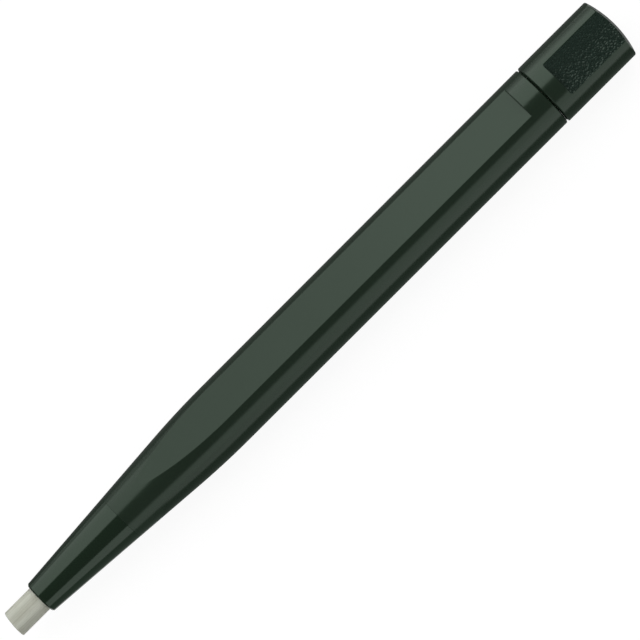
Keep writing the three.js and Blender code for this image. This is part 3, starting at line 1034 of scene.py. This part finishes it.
    def build(self, axis: PenAxis) -> bpy.types.Object:
        """Carries the section with its grip faces along the outline and dresses it.

        The distance from the axis is the round radius in front of the grip faces and the
        flatted section's reach behind their front wall, less the pits' depth.

        Args:
            axis: The pen's axis in the frame.

        Returns:
            The finished piece.
        """
        neck_front, end = axis.ends("twist_cap")
        front = neck_front + self.neck
        outline, outside, dome_first = self.outline(front, end)
        stations, radii = outline[:, :1], outline[:, 1:]
        distance = self.section.distance
        column_radii = np.full(len(outline), self.radius)
        column_radii[dome_first:] = np.maximum(radii[dome_first:, 0], distance)
        angles = self.section.angles(column_radii)
        past_wall = stations - (front + self.grip_offset)
        flatted = self.section.reach(angles, radii)
        reach = radii + (flatted - radii) * smooth_step(past_wall / self.grip_ramp)
        reach = reach - self.pits(angles, stations, radii, past_wall)
        reach[:outside] = radii[:outside]
        shift = self.corner_shift(angles, past_wall)
        shift[:outside] = 0
        flat_end = np.arctan2(self.section.half_width(radii), distance)
        on_grip = np.abs(self.section.from_middle(angles)) < flat_end
        on_grip = on_grip & (past_wall >= 0) & (radii > distance)
        on_grip[:outside] = False
        poles = (float(stations[0, 0]), end)
        piece = axis.enclose("cap_shell", stations + shift, angles, reach, poles)
        numbers = np.zeros(len(piece.data.polygons), dtype=np.int32)
        numbers[: on_grip[:-1].size] = on_grip[:-1].ravel()
        piece.data.polygons.foreach_set("material_index", numbers)
        return give(piece, [SATIN_ABS, SPARKED_ABS], "cap", "cap_plastic", "twist_cap")


@dataclass
class Refill:
    """The refill: a bound glass-fibre stick whose front end is a brush of loose fibres.

    Attributes:
        radius: Radius of the stick.
        protrusion: How far the brush stands out of the nose.
        slant: Slant of the working face, longest at -Y, in degrees.
        wear: How far the face is worn back at its rim.
        fibres: Number of fibres drawn.
        sides: Number of sides of a drawn fibre.
        fibre_radius: Radius of a drawn fibre.
        tip_share: Share of that radius at a fibre's very tip.
        blunting: Length over which it gets so thin.
        jitter: How much shorter a single fibre may be.
        lean: How far the tip of a fibre near the axis usually leans aside.
        clumps: Number of light clumps round the rim: streaks of paler fibre.
        painted_light_clump_turn: Angle of the first of them, in degrees. It lies on the side below the
            camera, so this clump's paler fibre partly stands in for light that falls there: painted
            light.
        clump_size: Size of the clumps within.
        edge: Rounding of the stick's ends.
        columns: Number of points round the stick.
    """

    radius: float = 2.04
    protrusion: float = 5.2
    slant: float = 5.0
    wear: float = 0.1
    fibres: int = 1500
    sides: int = 5
    fibre_radius: float = 0.062
    tip_share: float = 0.45
    blunting: float = 0.06
    jitter: float = 0.06
    lean: float = 0.012
    clumps: int = 5
    painted_light_clump_turn: float = 46.0
    clump_size: float = 0.5
    edge: float = 0.1
    columns: int = 96

    def fibre_places(self) -> tuple[np.ndarray, np.ndarray]:
        """Spreads the fibres evenly over the round section on a sunflower spiral.

        Fibre k of n lies at radius (R - f) sqrt((k + 0.5) / n) and angle k times the golden
        angle, pi (3 - sqrt 5).

        Returns:
            The fibres' radii and angles.
        """
        k = np.arange(self.fibres)
        radius = (self.radius - self.fibre_radius) * np.sqrt((k + 0.5) / self.fibres)
        return radius, k * math.pi * (3 - math.sqrt(5))

    def tip(self, radius: np.ndarray, angle: np.ndarray) -> np.ndarray:
        """Works out the station of the working face.

        It is -p + y tan(slant) + w (r / R)^8, with p the protrusion, y = -r sin(angle) and w
        the wear.

        Args:
            radius: Distances from the axis.
            angle: Angles round the axis.

        Returns:
            Stations of the face.
        """
        across = -radius * np.sin(angle)
        worn = self.wear * (radius / self.radius) ** 8
        return across * math.tan(math.radians(self.slant)) - self.protrusion + worn

    def fibre_faces(self) -> list[list[int]]:
        """Lists all the fibres' faces: the sides between a fibre's three rings, and its two ends.

        Returns:
            For each face, the numbers of its points.
        """
        start = (np.arange(self.fibres) * 3 * self.sides)[:, None, None]
        low = start + np.arange(2)[None, :, None] * self.sides
        high = low + self.sides
        here = np.arange(self.sides)[None, None, :]
        onward = (here + 1) % self.sides
        quads = np.stack([low + here, high + here, high + onward, low + onward], axis=-1)
        root_caps = start[:, 0] + np.arange(self.sides)
        tip_caps = start[:, 0] + 2 * self.sides + np.arange(self.sides)[::-1]
        return quads.reshape(-1, 4).tolist() + root_caps.tolist() + tip_caps.tolist()

    def build_brush(self, axis: PenAxis) -> bpy.types.Object:
        """Makes all the fibres as one mesh of threads with blunt tips.

        A thread has a ring of points at its root, one just short of its tip and a narrower one
        at the tip, each about the thread's own line, which leans a little at random. No tip
        reaches past the front of the CAD brush.

        A thread's tint is 0.6 c + 0.4 random. The clump c is 0.5 + 0.5 cos(n (a - b)) at the rim,
        with n clumps, a the thread's angle and b the first clump's. It turns inwards to lattice
        noise over the thread's place, by the share (r / R)^6. The clumps are streaks of paler fibre and
        partly painted light: the first is turned to 46 degrees from straight up towards -Y, where it
        lightens the brush as light falling there would.

        Args:
            axis: The pen's axis in the frame.

        Returns:
            The finished piece.
        """
        rng = np.random.default_rng(3)
        radius, angle = self.fibre_places()
        front, root = axis.ends("fibre_brush")
        tip = self.tip(radius, angle) + self.jitter * rng.random(self.fibres)
        tip = np.maximum(tip, front)
        ring_stations = np.stack([np.full_like(tip, root), tip + self.blunting, tip], axis=1)
        ring_sizes = self.fibre_radius * np.array([1.0, 1.0, self.tip_share])[None, :, None]
        lean = rng.normal(0, self.lean, (self.fibres, 2)) * (1 - radius / self.radius)[:, None]
        # How much of its tip's lean a thread has at each ring, from the root on.
        lean_shares = np.array([0.0, 0.97, 1.0])
        turns = np.linspace(0, FULL_TURN, self.sides, endpoint=False)
        y, z = -radius * np.sin(angle), radius * np.cos(angle)
        centre_y = y[:, None] + lean[:, :1] * lean_shares
        centre_z = z[:, None] + lean[:, 1:] * lean_shares
        point_y = centre_y[:, :, None] - ring_sizes * np.sin(turns)
        point_z = centre_z[:, :, None] + ring_sizes * np.cos(turns)
        point_angles, point_radii = np.arctan2(-point_y, point_z), np.hypot(point_y, point_z)
        points = axis.place(ring_stations[:, :, None], point_angles, point_radii)
        piece = add_mesh("brush_fibres", points.reshape(-1, 3), self.fibre_faces(), sharp=80)
        # Paler fibre round the rim, partly painted light: the first clump, at 46 degrees from straight up
        # towards -Y, lightens that side as light would.
        at_rim = 0.5 + 0.5 * np.cos(self.clumps * (angle - math.radians(self.painted_light_clump_turn)))
        # The offsets of 20 cells only pick a part of the lattice.
        within = lattice_noise(y / self.clump_size + 20, z / self.clump_size + 20, 5)
        clump = within + (at_rim - within) * (radius / self.radius) ** 6
        tint = np.clip(0.6 * clump + 0.4 * rng.random(self.fibres), 0, 1)
        layer = piece.data.attributes.new(LOOSE_STREAKS.tint, "FLOAT", "POINT")
        layer.data.foreach_set("value", np.repeat(tint, 3 * self.sides))
        return give(piece, [LOOSE_FIBRE], "feed", "loose_fibre", "fibre_brush")

    def build_stick(self, axis: PenAxis) -> bpy.types.Object:
        """Spins the bound stick, a round bar with slightly rounded ends.

        Args:
            axis: The pen's axis in the frame.

        Returns:
            The finished piece.
        """
        front, end = axis.ends("refill_core")
        inner = self.radius - self.edge
        points = [
            *crosswise(front, 0.3, inner - 0.1, 0.4),
            *rounded_corner((front + self.edge, inner), self.edge, 180, 90),
            *lengthwise(front + 0.4, end - 0.4, 0.8, self.radius),
            *rounded_corner((end - self.edge, inner), self.edge, 90, 0),
            *crosswise(end, inner - 0.1, 0.3, 0.4),
        ]
        outline = np.array(points)
        angles = np.linspace(0, FULL_TURN, self.columns, endpoint=False)
        piece = axis.enclose("refill_stick", outline[:, :1], angles, outline[:, 1:], (front, end))
        return give(piece, [BOUND_FIBRE], "feed", "bound_fibre", "refill_core")


@dataclass
class Mechanism:
    """The inner pieces, whose solids are carried over and given their real finishes.

    Attributes:
        finishes: Each finish with the CAD nodes that have it.
    """

    finishes: tuple[tuple[Finish, tuple[str, ...]], ...] = (
        (NATURAL_NYLON, ("guide_sleeve", "bearing_bush", "cap_hub")),
        (NITRILE_RUBBER, ("friction_ring",)),
        (DRAWN_STEEL, ("lead_screw", "screw_pin", "thrust_washer", "retaining_clip")),
        (TURNED_BRASS, ("feed_nut", "refill_holder", "refill_ferrule")),
        (DRAWN_ALUMINIUM, ("push_tube",)),
    )

    def dress(self) -> list[bpy.types.Object]:
        """Gives each inner node its finish.

        Returns:
            The dressed nodes.
        """
        dressed = []
        for finish, names in self.finishes:
            for name in names:
                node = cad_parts[name]
                for slot in node.material_slots:
                    slot.material = finish.material()
                dressed.append(node)
        return dressed


class Falls(Enum):
    """The surfaces that a lamp's light falls on: it shows in gloss, or only lights dull ones."""

    ON_GLOSS = "glossy"
    ON_DULL = "dull"


@dataclass(frozen=True)
class Lamp:
    """A flat lamp hung across the pen, which fills a range of angles seen from the pen.

    Attributes:
        name: Name of the lamp.
        start: First angle from overhead towards -Y, in degrees.
        stop: Last angle, in degrees.
        radiance: Brightness of its face, where 1 is white.
        ends: X of its two ends, in metres.
        falls: The surfaces that it lights.
    """

    name: str
    start: float
    stop: float
    radiance: float
    ends: tuple[float, float] = (-0.33, 0.3)
    falls: Falls = Falls.ON_GLOSS


@dataclass(frozen=True)
class PaintedReflection:
    """A glowing sheet laid on the floor beside the pen, seen only in the pen's gloss: a painted
    reflection, which stands in for the floor or room that the gloss would show.

    Attributes:
        name: Name of the painted reflection.
        low: X and Y of its corner towards -X and -Y, in millimetres.
        high: X and Y of the opposite corner.
        radiance: Brightness at the ends towards -X and +X, 0 for black.
        fade: The X values, in millimetres, between which one brightness turns to the other.
        colour: Colour of the painted reflection, sRGB hex.
    """

    name: str
    low: tuple[float, float]
    high: tuple[float, float]
    radiance: tuple[float, float]
    fade: tuple[float, float] = (-50.0, 50.0)
    colour: str = "ffffff"


def stand(
    name: str,
    data: bpy.types.Camera | bpy.types.Light,
    sides: tuple[Vector, Vector, Vector],
    place: Vector,
) -> bpy.types.Object:
    """Puts a camera or a lamp in its place and links it to the scene.

    Args:
        name: Name of the object.
        data: The camera or the lamp.
        sides: The directions of its right, of its top and of its back, away from its view.
        place: Where it stands, in metres.

    Returns:
        The new object.
    """
    item = bpy.data.objects.new(name, data)
    item.matrix_world = Matrix(sides).transposed().to_4x4()
    item.location = place
    bpy.context.scene.collection.objects.link(item)
    return item


def add_sheet(
    name: str, low: tuple[float, float], high: tuple[float, float], height: float
) -> bpy.types.Object:
    """Makes a level sheet.

    Args:
        name: Name of the sheet.
        low: X and Y of its corner towards -X and -Y, in millimetres.
        high: X and Y of the opposite corner.
        height: Its height over the ground, in millimetres.

    Returns:
        The new object.
    """
    (left, near), (right, far) = low, high
    corners = [(left, near), (right, near), (right, far), (left, far)]
    return add_mesh(name, [(x * MM, y * MM, height * MM) for x, y in corners], [(0, 1, 2, 3)])


@dataclass
class Studio:
    """The camera, the pale floor and the lights.

    Attributes:
        distance: From the camera to the pen, in metres.
        elevation: Height of the camera above the horizon, in degrees.
        roll: How far the pen's long axis is turned from the image's sideways, in degrees.
        aim_along: How far past the pen's middle the camera aims, in millimetres.
        aim_down: How far below the axis, across the image, the camera aims, in millimetres.
        scale: Pixels for each millimetre at the axis, in an image of this many pixels.
        image: Width of the image in pixels.
        sensor: Width of the sensor, in millimetres.
        clip: The nearest and the farthest that the camera sees, in metres.
        lamp_distance: From the pen to each lamp, in metres.
        lamps: What the gloss shows: the large soft panel behind the pen, whose far side fades
            in two steps, the low strip on the camera's side, and a brighter half of both
            towards the cap. Two longer lamps light the dull surfaces evenly.
        world_radiance: Brightness of the dim room, and of its end that the cap faces.
        world_fade: The X parts of a direction between which the one turns to the other.
        floor_reach: How far the floor reaches each way, in millimetres.
        floor_colour: Colour of the floor, sRGB hex.
        floor_glow: Light that the floor adds for the camera and for reflections.
        painted_reflection_height: Height of the painted reflections over the floor, in millimetres.
        painted_reflections: Glowing sheets that the pen's sides reflect in place of the white floor:
            painted dark reflections of a dim room,
        painted shade of the floor under and beside the pen, and painted paler floor further out. Those
        close to it are painted green for the light that the pen throws on them.
    """

    distance: float = 0.695
    elevation: float = 66.1
    roll: float = 45.0
    aim_along: float = 1.06
    aim_down: float = 0.150
    scale: float = 7.2
    image: int = 640
    sensor: float = 36.0
    clip: tuple[float, float] = (0.05, 20.0)
    lamp_distance: float = 0.6
    lamps: tuple[Lamp, ...] = (
        Lamp("soft_panel", -70.0, 5.0, 0.61),
        Lamp("soft_panel_fringe", -88.0, 5.0, 0.36),
        Lamp("soft_panel_bright_half", -80.0, 5.0, 0.42, (0.02, 0.3)),
        Lamp("low_strip", 69.3, 89.0, 0.7),
        Lamp("low_strip_bright_half", 69.3, 89.0, 0.42, (0.02, 0.3)),
        Lamp("light_from_behind", -80.0, 5.0, 1.15, (-1.2, 1.2), Falls.ON_DULL),
        Lamp("light_from_before", 20.0, 85.0, 0.6, (-1.2, 1.2), Falls.ON_DULL),
    )
    world_radiance: tuple[float, float] = (0.1, 0.5)
    world_fade: tuple[float, float] = (0.55, 0.85)
    floor_reach: float = 6000.0
    floor_colour: str = "6c6c6c"
    floor_glow: float = 0.91
    painted_reflection_height: float = 0.2
    painted_reflections: tuple[PaintedReflection, ...] = (
        # Painted dark reflections, standing in for a dim room beyond the pen and before the brush.
        PaintedReflection("painted_dark_reflection_far_side", (-400.0, 6.0), (66.0, 400.0), (0.13, 0.13)),
        PaintedReflection("painted_dark_reflection_before_brush", (-400.0, -21.0), (-62.0, 6.0), (0.1, 0.1)),
        # Painted shade of the floor under and beside the pen, tinted green as painted bounce light from
        # the pen.
        PaintedReflection("painted_shade_reflection_by_barrel", (-34.0, -16.5), (62.0, -3.5), (0.15, 0.14), (-34, -20), "eafff0"),
        PaintedReflection("painted_shade_reflection_by_nose", (-62.0, -21.0), (-34.0, -3.5), (0.22, 0.19), (-46, -34), "eafff0"),
        # Painted reflections of the lit floor further out, less bright than the floor itself.
        PaintedReflection("painted_floor_reflection_near_barrel", (-34.0, -400.0), (110.0, -16.5), (0.66, 0.86), (-34.0, 40.0)),
        PaintedReflection("painted_floor_reflection_near_nose", (-170.0, -400.0), (-34.0, -21.0), (0.8, 0.7), (-60.0, -34.0)),
        # Painted dark reflection behind the cap, which darkens the rim of its dome.
        PaintedReflection("painted_dark_reflection_behind_cap", (59.3, -3.4), (64.0, 5.9), (0.2, 0.2)),
    )

    def set_camera(self, axis: PenAxis) -> bpy.types.Object:
        """Places the camera at the photograph's angle.

        The lens is sensor * distance * scale / image, so that the pen has its size in the image.

        Args:
            axis: The pen's axis in the frame.

        Returns:
            The camera.
        """
        data = bpy.data.cameras.new("camera")
        data.sensor_width = self.sensor
        data.lens = self.sensor * (self.distance / MM) * self.scale / self.image
        data.clip_start, data.clip_end = self.clip
        up_angle, turn = math.radians(self.elevation), math.radians(self.roll)
        back = Vector((0, -math.cos(up_angle), math.sin(up_angle)))
        pen_up = Vector((0, math.sin(up_angle), math.cos(up_angle)))
        along = Vector((1, 0, 0))
        right = math.cos(turn) * along - math.sin(turn) * pen_up
        up = math.sin(turn) * along + math.cos(turn) * pen_up
        target = Vector((self.aim_along * MM, 0, axis.height)) - pen_up * self.aim_down * MM
        camera = stand("camera", data, (right, up, back), target + back * self.distance)
        bpy.context.scene.camera = camera
        return camera

    def hang_lamp(self, lamp: Lamp) -> bpy.types.Object:
        """Hangs a lamp so that it faces the pen from the middle of its range of angles.

        It is 2 distance tan(range / 2) wide. Its power is pi A L, with A its area and L its
        radiance.

        Args:
            lamp: The lamp.

        Returns:
            The lamp's object.
        """
        middle = math.radians((lamp.start + lamp.stop) / 2)
        width = 2 * self.lamp_distance * math.tan(math.radians(lamp.stop - lamp.start) / 2)
        light = bpy.data.lights.new(lamp.name, "AREA")
        light.shape = "RECTANGLE"
        light.size = lamp.ends[1] - lamp.ends[0]
        light.size_y = width
        light.energy = lamp.radiance * math.pi * light.size * width
        towards = Vector((0, -math.sin(middle), math.cos(middle)))
        side = Vector((1, 0, 0))
        place = towards * self.lamp_distance + side * sum(lamp.ends) / 2
        panel = stand(lamp.name, light, (side, towards.cross(side), towards), place)
        panel.visible_camera = False
        panel.visible_glossy = lamp.falls is Falls.ON_GLOSS
        panel.visible_diffuse = lamp.falls is Falls.ON_DULL
        return panel

    def lay_floor(self) -> bpy.types.Object:
        """Lays a wide pale floor that shows white and keeps the pen's soft shadow.

        Returns:
            The floor.
        """
        reach = self.floor_reach
        floor = add_sheet("floor", (-reach, -reach), (reach, reach), 0.0)
        material, tree = empty_material("white_card")
        rays = add_node(tree, "LightPath")
        shown = rays["Is Camera Ray"]
        for ray in ("Is Glossy Ray", "Is Transmission Ray"):
            shown = add_node(tree, "Math", {0: shown, 1: rays[ray]}, {"operation": "MAXIMUM"})["Value"]
        strength = add_node(tree, "MapRange", {"Value": shown, "To Max": self.floor_glow})["Result"]
        glow = add_node(tree, "Emission", {"Strength": strength})["Emission"]
        card = add_node(tree, "BsdfDiffuse", {"Color": linear(self.floor_colour)})["BSDF"]
        both = add_node(tree, "AddShader", {0: glow, 1: card})["Shader"]
        add_node(tree, "OutputMaterial", {"Surface": both})
        floor.data.materials.append(material)
        return floor

    def lay_painted_reflection(self, card: PaintedReflection) -> bpy.types.Object:
        """Lays a painted reflection, a glowing sheet just over the floor, where only glossy rays meet it.

        Args:
            card: The painted reflection.

        Returns:
            The painted reflection's object.
        """
        sheet = add_sheet(card.name, card.low, card.high, self.painted_reflection_height)
        material, tree = empty_material(card.name)
        ends = (card.fade[0] * MM, card.fade[1] * MM)
        strength = fade_along_x(tree, "Object", ends, card.radiance)
        # Painted reflection: the sheet glows with a set brightness and tint in place of the floor's real
        # shade or light.
        paint = add_node(tree, "Emission", {"Color": linear(card.colour), "Strength": strength})
        add_node(tree, "OutputMaterial", {"Surface": paint["Emission"]})
        sheet.data.materials.append(material)
        sheet.visible_camera = False
        sheet.visible_diffuse = False
        sheet.visible_transmission = False
        sheet.visible_shadow = False
        return sheet

    def set_world(self) -> None:
        """Fills the room with a dim grey light, lighter towards the end that the cap faces."""
        world = bpy.data.worlds.new("dim_room")
        world.use_nodes = True
        tree = world.node_tree
        tree.nodes.clear()
        strength = fade_along_x(tree, "Generated", self.world_fade, self.world_radiance)
        grey = add_node(tree, "Background", {"Color": (1, 1, 1, 1), "Strength": strength})
        add_node(tree, "OutputWorld", {"Surface": grey["Background"]})
        bpy.context.scene.world = world

    def build(self, axis: PenAxis) -> None:
        """Sets up the camera, the floor, the lamps and the view transform.

        Args:
            axis: The pen's axis in the frame.
        """
        self.set_camera(axis)
        self.lay_floor()
        self.set_world()
        for lamp in self.lamps:
            self.hang_lamp(lamp)
        for card in self.painted_reflections:
            self.lay_painted_reflection(card)
        bpy.context.scene.view_settings.view_transform = "Standard"


def main() -> None:
    """Builds the pen's pieces in order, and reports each."""
    logging.basicConfig(level=logging.INFO, format="%(name)s: %(message)s")
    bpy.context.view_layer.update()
    axis = PenAxis.from_frame()
    Studio().build(axis)
    nose = Nose()
    refill = Refill()
    pieces = [
        nose.build(axis),
        Barrel().build(axis, nose),
        TwistCap().build(axis),
        refill.build_stick(axis),
        refill.build_brush(axis),
    ]
    for piece in pieces:
        log.info("built %s with %d faces", piece.name, len(piece.data.polygons))
    for node in Mechanism().dress():
        log.info("dressed %s", node.name)


if __name__ == "__main__":
    main()
